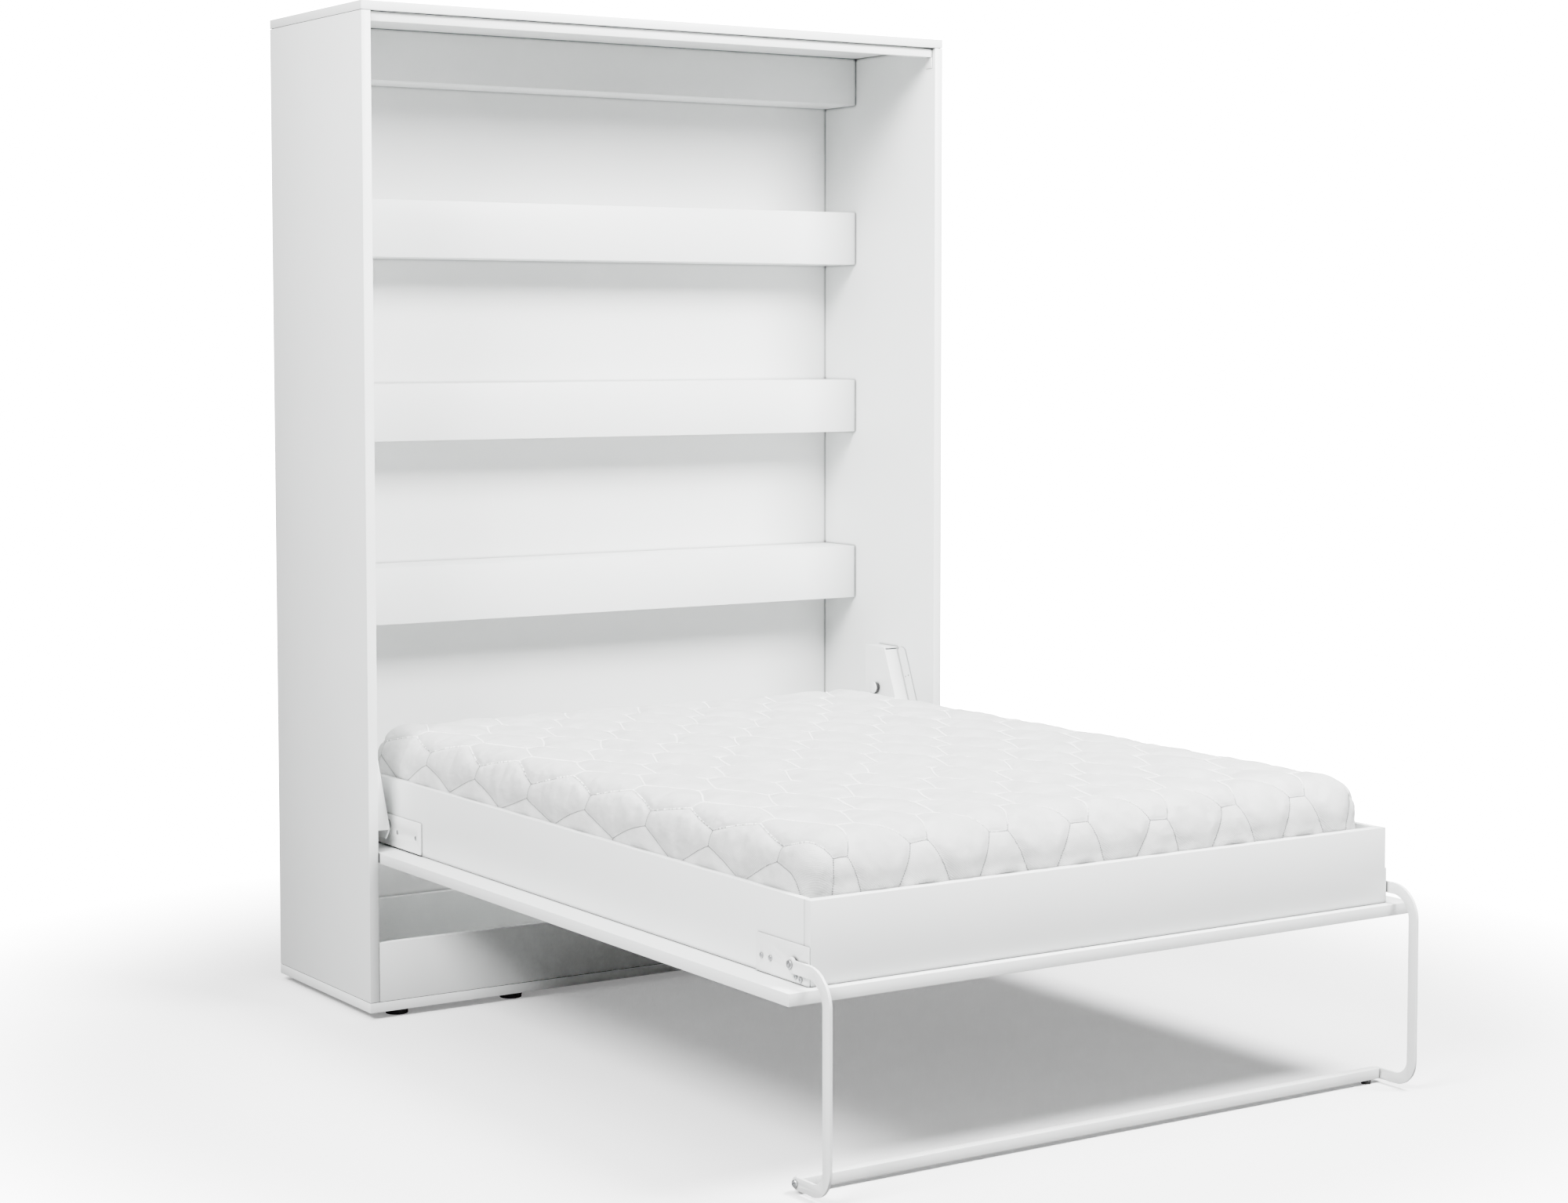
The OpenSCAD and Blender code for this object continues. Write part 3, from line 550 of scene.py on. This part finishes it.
def seamDistance(u, v):
    # distance to the nearest seam; every cell is a long hexagon
    s = mattressShape
    pitch = s["cellPitch"] / 2
    half = s["cellLength"] / 2
    a = s["shortSeam"] / 2
    w = s["cellPitch"] / 2 - a
    slope = math.hypot(half, w - a)
    best = np.full(u.shape, -1.0)
    column = np.floor((u - s["rowStart"]) / pitch)
    for step in (-1, 0, 1, 2):
        k = column + step
        cx = s["rowStart"] + k * pitch
        shift = np.where(np.mod(k, 2) == 0, half, 0.0)
        row = np.round((v - s["footStart"] - shift) / s["cellLength"])
        cy = s["footStart"] + shift + row * s["cellLength"]
        x, y = np.abs(u - cx), np.abs(v - cy)
        d = np.minimum(half - y, (w * half - half * x - (w - a) * y) / slope)
        best = np.maximum(best, d)
    return np.maximum(best, 0.0)


def layFlat(points, low, high):
    # where each point of the cover lies when the cover is unrolled from the top
    s = mattressShape
    r = s["round"]
    cx = np.clip(points[:, 0], low[0] + r, high[0] - r)
    cy = np.clip(points[:, 1], low[1] + r, high[1] - r)
    dx, dy = points[:, 0] - cx, points[:, 1] - cy
    out = np.hypot(dx, dy)
    up = points[:, 2] - (high[2] - r)
    angle = np.arctan2(out, np.maximum(up, 0.0))
    arc = np.where(up > 0, r * angle, r * math.pi / 2 - up)
    arc = np.where(out < 1e-6, 0.0, arc)
    quarter = r * math.pi / 2
    wide = np.minimum(arc, quarter) * s["sideStretch"] + np.maximum(arc - quarter, 0)
    safe = np.maximum(out, 1e-9)
    return cx + dx / safe * wide, cy + dy / safe * arc


def meshPoints(obj):
    points = np.empty(len(obj.data.vertices) * 3)
    obj.data.vertices.foreach_get("co", points)
    return points.reshape(-1, 3)


def setPoints(obj, points):
    obj.data.vertices.foreach_set("co", points.ravel())
    obj.data.update()


def meshNormals(obj):
    normals = np.empty(len(obj.data.vertices) * 3)
    obj.data.vertices.foreach_get("normal", normals)
    return normals.reshape(-1, 3)


def makeMattress():
    s = mattressShape
    low, high = (np.array(c, float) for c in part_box("mattress"))
    high[2] -= s["puffRoom"]
    obj = boxPiece("mattress_cover", low, high)
    applyModifier(obj, "REMESH", mode="VOXEL", voxel_size=s["voxel"])
    # the block's corners and top edges are drawn in to a full round
    points = meshPoints(obj)
    r = s["round"]
    core = np.column_stack([np.clip(points[:, 0], low[0] + r, high[0] - r),
                            np.clip(points[:, 1], low[1] + r, high[1] - r),
                            np.minimum(points[:, 2], high[2] - r)])
    reach = np.linalg.norm(points - core, axis=1)
    shrink = np.minimum(1.0, r / np.maximum(reach, 1e-9))
    setPoints(obj, core + (points - core) * shrink[:, None])
    points = meshPoints(obj)
    flatU, flatV = layFlat(points, low, high)
    seam = seamDistance(*patternWarp(flatU, flatV))
    onTop = points[:, 2] > low[2] + s["plainEdge"]
    normals = meshNormals(obj)
    sink = s["valley"] * np.exp(-(seam / s["valleyWidth"]) ** s["valleyCurve"]) * onTop
    setPoints(obj, points - normals * sink[:, None])
    start = meshPoints(obj)
    flat = np.stack([flatU, flatV], axis=1)
    pin = obj.vertex_groups.new(name="pin")
    hold = np.where(onTop, np.clip(1.5 - seam / s["pinWidth"], 0, 1), 1.0)
    firm = hold >= 0.75
    loose = (hold > 0.2) & ~firm
    for chosen, value in ((firm, 1.0), (loose, 0.5)):
        pin.add(np.flatnonzero(chosen).tolist(), value, "REPLACE")
    cloth = obj.modifiers.new("Cloth", "CLOTH")
    settings = cloth.settings
    settings.vertex_group_mass = "pin"
    settings.quality = 6
    settings.mass = 0.3
    settings.tension_stiffness = 12
    settings.compression_stiffness = 12
    settings.shear_stiffness = 4
    settings.bending_stiffness = 0.3
    settings.use_pressure = True
    settings.uniform_pressure_force = s["pressure"]
    settings.shrink_min = -s["extraCloth"]
    settings.effector_weights.gravity = 0
    cloth.collision_settings.use_collision = False
    scene = bpy.context.scene
    for number in range(1, s["clothFrames"] + 1):
        scene.frame_set(number)
    depsgraph = bpy.context.evaluated_depsgraph_get()
    moved = bpy.data.meshes.new_from_object(obj.evaluated_get(depsgraph))
    after = np.empty(len(moved.vertices) * 3)
    moved.vertices.foreach_get("co", after)
    after = after.reshape(-1, 3)
    bpy.data.meshes.remove(moved)
    obj.modifiers.remove(cloth)
    scene.frame_set(1)
    step = after - start
    length = np.linalg.norm(step, axis=1)
    print("cloth moved by", round(float(length.mean()) * 1000, 2), "mm on average,",
          round(float(length.max()) * 1000, 2), "mm at most")
    keep = s["puffCap"] * np.tanh(length / s["puffCap"]) / np.maximum(length, 1e-9)
    start = start + step * keep[:, None]
    setPoints(obj, start)
    # the unrolled place of each point goes along as an attribute, through the subdivision
    layer = obj.data.attributes.new("unrolled", "FLOAT_VECTOR", "POINT")
    layer.data.foreach_set("vector", np.column_stack([flat, np.zeros(len(flat))]).ravel())
    applyModifier(obj, "SUBSURF", levels=1, render_levels=1)
    points = meshPoints(obj)
    layer = obj.data.attributes["unrolled"]
    flat = np.empty(len(points) * 3)
    layer.data.foreach_get("vector", flat)
    flat = flat.reshape(-1, 3)[:, :2]
    seam = seamDistance(*patternWarp(flat[:, 0], flat[:, 1]))
    onTop = points[:, 2] > low[2] + s["plainEdge"]
    sink = s["crease"] * np.exp(-(seam / s["creaseWidth"]) ** 2) * onTop
    points = points - meshNormals(obj) * sink[:, None]
    # inside the frame of boards the cover stays between them
    cadLow, cadHigh = (np.array(c, float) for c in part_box("mattress"))
    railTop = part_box("side_rail_left")[1][2]
    room = np.where(points[:, 2] < railTop + s["railMargin"], s["railRoom"], s["openRoom"])
    for axis in (0, 1):
        points[:, axis] = np.clip(points[:, axis], cadLow[axis] - room, cadHigh[axis] + room)
    points[:, 2] = np.clip(points[:, 2], cadLow[2], cadHigh[2] + s["topRoom"])
    setPoints(obj, points)
    obj.data.attributes.remove(obj.data.attributes["unrolled"])
    pickOnly(obj)
    bpy.ops.object.shade_smooth()
    return obj, flat, low, high


def seamLines(low, high):
    # the seams' own lines, as pairs of ends in the unrolled pattern
    s = mattressShape
    pitch = s["cellPitch"] / 2
    half = s["cellLength"] / 2
    a = s["shortSeam"] / 2
    w = pitch - a
    reachX, reachY = high[0] + s["overhang"], high[1] - low[1]
    lines = []
    # a few more than the cover needs: a seam that misses it gets no stitches
    columns = range(-4, int(2 * reachX / pitch) + 4)
    rows = range(-3, int(reachY / s["cellLength"]) + 5)
    for k in columns:
        cx = s["rowStart"] + k * pitch
        shift = half if k % 2 == 0 else 0.0
        for row in rows:
            cy = s["footStart"] + shift + row * s["cellLength"]
            lines.append(((cx - a, cy - half), (cx + a, cy - half)))
            lines.append(((cx + a, cy - half), (cx + w, cy)))
            lines.append(((cx + w, cy), (cx + a, cy + half)))
    return lines


def makeStitching(cover, flat, low, high):
    s = mattressShape
    mesh = cover.data
    points = meshPoints(cover)
    lowest = low[2] + s["plainSides"]
    faces = [tuple(f.vertices) for f in mesh.polygons if f.center.z > lowest]
    flatPoints = [(float(u), float(v), 0.0) for u, v in flat]
    tree = BVHTree.FromPolygons(flatPoints, faces)
    ring = [(0.0, 1.0), (1.0, 0.0), (0.0, -1.0), (-1.0, 0.0)]
    verts, quads, lying = [], [], []
    stitchPoints = 2 * len(ring) + 2
    turnStart, turnEnd = s["threadTurn"]
    thin, full = s["thread"]
    step = s["stitch"] + s["stitchGap"]

    def onCover(u, v):
        hit, _, index, gap = tree.find_nearest(Vector((u, v, 0)), s["searchReach"])
        if hit is None or gap > s["offCover"]:
            return None, None
        corners = faces[index]
        weights = poly_3d_calc([Vector(flatPoints[i]) for i in corners], hit)
        place = sum((Vector(points[i]) * wt for i, wt in zip(corners, weights)), Vector())
        return place, index

    for (u0, v0), (u1, v1) in seamLines(low, high):
        length = math.hypot(u1 - u0, v1 - v0)
        count = max(2, round(length / step))
        places = []
        for i in range(count + 1):
            for part in (0.0, s["stitch"] / step):
                t = min(1.0, (i + part) / count)
                u, v = unwarp(u0 + (u1 - u0) * t, v0 + (v1 - v0) * t)
                places.append(onCover(float(u), float(v)))
        for i in range(0, count * 2, 2):
            (a, faceA), (b, _) = places[i], places[i + 1]
            if a is None or b is None:
                continue
            if not s["shortestStitch"] <= (b - a).length <= s["longestStitch"]:
                continue
            along = (b - a).normalized()
            polygon = [Vector(points[j]) for j in faces[faceA]]
            outward = (polygon[2] - polygon[0]).cross(polygon[3] - polygon[1]).normalized()
            across = along.cross(outward).normalized()
            up = across.cross(along).normalized()
            flatness = (outward.z - turnStart) / (turnEnd - turnStart)
            flatness = min(1.0, max(0.0, flatness))
            thick = thin + (full - thin) * flatness
            lying += [flatness] * stitchPoints
            # a short spindle with its ends tucked into the cover
            lift = outward * thick * s["lift"]
            tuck = outward * thick * s["tuck"]
            base = len(verts)
            verts.append(a - tuck)
            for spot in (a.lerp(b, s["fullFrom"]), a.lerp(b, s["fullTo"])):
                for x, z in ring:
                    rise = up * z * thick * s["flattened"]
                    verts.append(spot + lift + across * x * thick + rise)
            verts.append(b - tuck)
            for j in range(4):
                n = (j + 1) % 4
                quads.append((base, base + 1 + n, base + 1 + j))
                quads.append((base + 1 + j, base + 1 + n, base + 5 + n, base + 5 + j))
                quads.append((base + 5 + j, base + 5 + n, base + 9))
    mesh = bpy.data.meshes.new("mattress_stitching")
    mesh.from_pydata([tuple(v) for v in verts], [], quads)
    mesh.attributes.new("lying", "FLOAT", "POINT").data.foreach_set("value", lying)
    mesh.update()
    obj = bpy.data.objects.new("mattress_stitching", mesh)
    bpy.context.scene.collection.objects.link(obj)
    pickOnly(obj)
    bpy.ops.object.mode_set(mode="EDIT")
    bpy.ops.mesh.select_all(action="SELECT")
    bpy.ops.mesh.normals_make_consistent(inside=False)
    bpy.ops.object.mode_set(mode="OBJECT")
    bpy.ops.object.shade_smooth()
    print("stitches:", len(verts) // stitchPoints)
    return obj


cover, flatPlaces, coverLow, coverHigh = makeMattress()
dress(cover, materials["quilt"])
stitching = makeStitching(cover, flatPlaces, coverLow, coverHigh)
dress(stitching, materials["thread"])
standIn(cover, "bed", "mattress")
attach(stitching, "bed")
print("mattress is quilted:", len(cover.data.polygons), "faces")


# studio: pale floor, soft light, camera
studio = {
    "floorSize": 60,
    "floorSeen": 0.92, "floorBounce": 0.14,  # how pale it looks, and how much light it gives back
    # painted light: the floor glows for the camera only, faintly near the bed and fading to white
    # away from it
    "glowStart": 1.4, "glowEnd": 3.6, "glow": 30.0, "nearGlow": 0.25,
    "ambient": 0.15,  # the room's own light
    "backdrop": 40.0,  # how bright the plain background looks
    "topPower": 4.0, "topTurn": (8, -8, 0), "topSpread": 50,
    "cabinetPower": 900, "cabinetSize": 1.6, "cabinetPlace": (1.3, -2.4, 4.0),
    "cabinetTarget": (-0.1, 1.0, 1.2),
    "sidePower": 1500, "sideSize": 2.6, "sidePlace": (-5.2, -2.2, 5.2),
    "sideTarget": (0, 0.3, 1.0),
    "cameraPlace": (-3.5882, -5.3811, 1.5599),
    "cameraTurn": 33.428, "cameraDip": 3.662,  # to the right of the bed's length, and downwards
    "lens": 66.629,
    "shift": (-0.0119, -0.05),
    "sight": 200,  # how far the camera sees
}


def areaLight(name, place, target, size, power):
    lamp = bpy.data.lights.new(name, "AREA")
    lamp.shape = "SQUARE"
    lamp.size = size
    lamp.energy = power
    obj = bpy.data.objects.new(name, lamp)
    bpy.context.scene.collection.objects.link(obj)
    obj.location = place
    obj.rotation_euler = (Vector(target) - Vector(place)).to_track_quat("-Z", "Y").to_euler()
    return obj


def makeFloor():
    deselectAll()
    bpy.ops.mesh.primitive_plane_add(size=studio["floorSize"], location=(0, 0, 0))
    floor = bpy.context.object
    floor.name = "studio_floor"
    material, tree, shader, coord = newMaterial("studioFloor")
    shader.inputs["Roughness"].default_value = 0.7
    shader.inputs["Specular IOR Level"].default_value = 0.2
    rays = tree.nodes.new("ShaderNodeLightPath")
    pale = addRamp(tree, rays.outputs["Is Camera Ray"], (studio["floorBounce"],) * 3,
                   (studio["floorSeen"],) * 3, 0.0, 1.0)
    tree.links.new(pale.outputs["Color"], shader.inputs["Base Color"])
    # painted light: camera-only glow of the floor, which lifts its shade near the bed and turns
    # it white further away
    away = tree.nodes.new("ShaderNodeVectorMath")
    away.operation = "LENGTH"
    tree.links.new(coord.outputs["Object"], away.inputs[0])
    fade = tree.nodes.new("ShaderNodeMapRange")
    fade.interpolation_type = "SMOOTHSTEP"
    fade.inputs["From Min"].default_value = studio["glowStart"]
    fade.inputs["From Max"].default_value = studio["glowEnd"]
    fade.inputs["To Min"].default_value = studio["nearGlow"]
    fade.inputs["To Max"].default_value = studio["glow"]
    tree.links.new(away.outputs["Value"], fade.inputs["Value"])
    onlySeen = tree.nodes.new("ShaderNodeMath")
    onlySeen.operation = "MULTIPLY"
    tree.links.new(fade.outputs["Result"], onlySeen.inputs[0])
    tree.links.new(rays.outputs["Is Camera Ray"], onlySeen.inputs[1])
    shader.inputs["Emission Color"].default_value = (1, 1, 1, 1)
    tree.links.new(onlySeen.outputs["Value"], shader.inputs["Emission Strength"])
    dress(floor, material)


def makeBackdrop():
    world = bpy.context.scene.world or bpy.data.worlds.new("studio")
    bpy.context.scene.world = world
    world.use_nodes = True
    tree = world.node_tree
    ambient = tree.nodes["Background"]
    ambient.inputs["Color"].default_value = (1, 1, 1, 1)
    ambient.inputs["Strength"].default_value = studio["ambient"]
    seen = tree.nodes.new("ShaderNodeBackground")
    seen.inputs["Strength"].default_value = studio["backdrop"]
    rays = tree.nodes.new("ShaderNodeLightPath")
    mix = tree.nodes.new("ShaderNodeMixShader")
    tree.links.new(rays.outputs["Is Camera Ray"], mix.inputs["Fac"])
    tree.links.new(ambient.outputs["Background"], mix.inputs[1])
    tree.links.new(seen.outputs["Background"], mix.inputs[2])
    tree.links.new(mix.outputs["Shader"], tree.nodes["World Output"].inputs["Surface"])


def makeLights():
    lamp = bpy.data.lights.new("topLight", "SUN")
    lamp.energy = studio["topPower"]
    lamp.angle = math.radians(studio["topSpread"])
    top = bpy.data.objects.new("topLight", lamp)
    bpy.context.scene.collection.objects.link(top)
    top.rotation_euler = [math.radians(a) for a in studio["topTurn"]]
    for name in ("cabinet", "side"):
        areaLight(name + "Light", studio[name + "Place"], studio[name + "Target"],
                  studio[name + "Size"], studio[name + "Power"])


def makeCamera():
    lensData = bpy.data.cameras.new("studioCamera")
    lensData.lens = studio["lens"]
    lensData.sensor_width = 36
    lensData.shift_x, lensData.shift_y = studio["shift"]
    lensData.clip_end = studio["sight"]
    camera = bpy.data.objects.new("studioCamera", lensData)
    bpy.context.scene.collection.objects.link(camera)
    camera.location = studio["cameraPlace"]
    camera.rotation_euler = (math.radians(90 - studio["cameraDip"]), 0,
                             -math.radians(studio["cameraTurn"]))
    bpy.context.scene.camera = camera


makeFloor()
makeBackdrop()
makeLights()
makeCamera()
print("studio is set")

deselectAll()
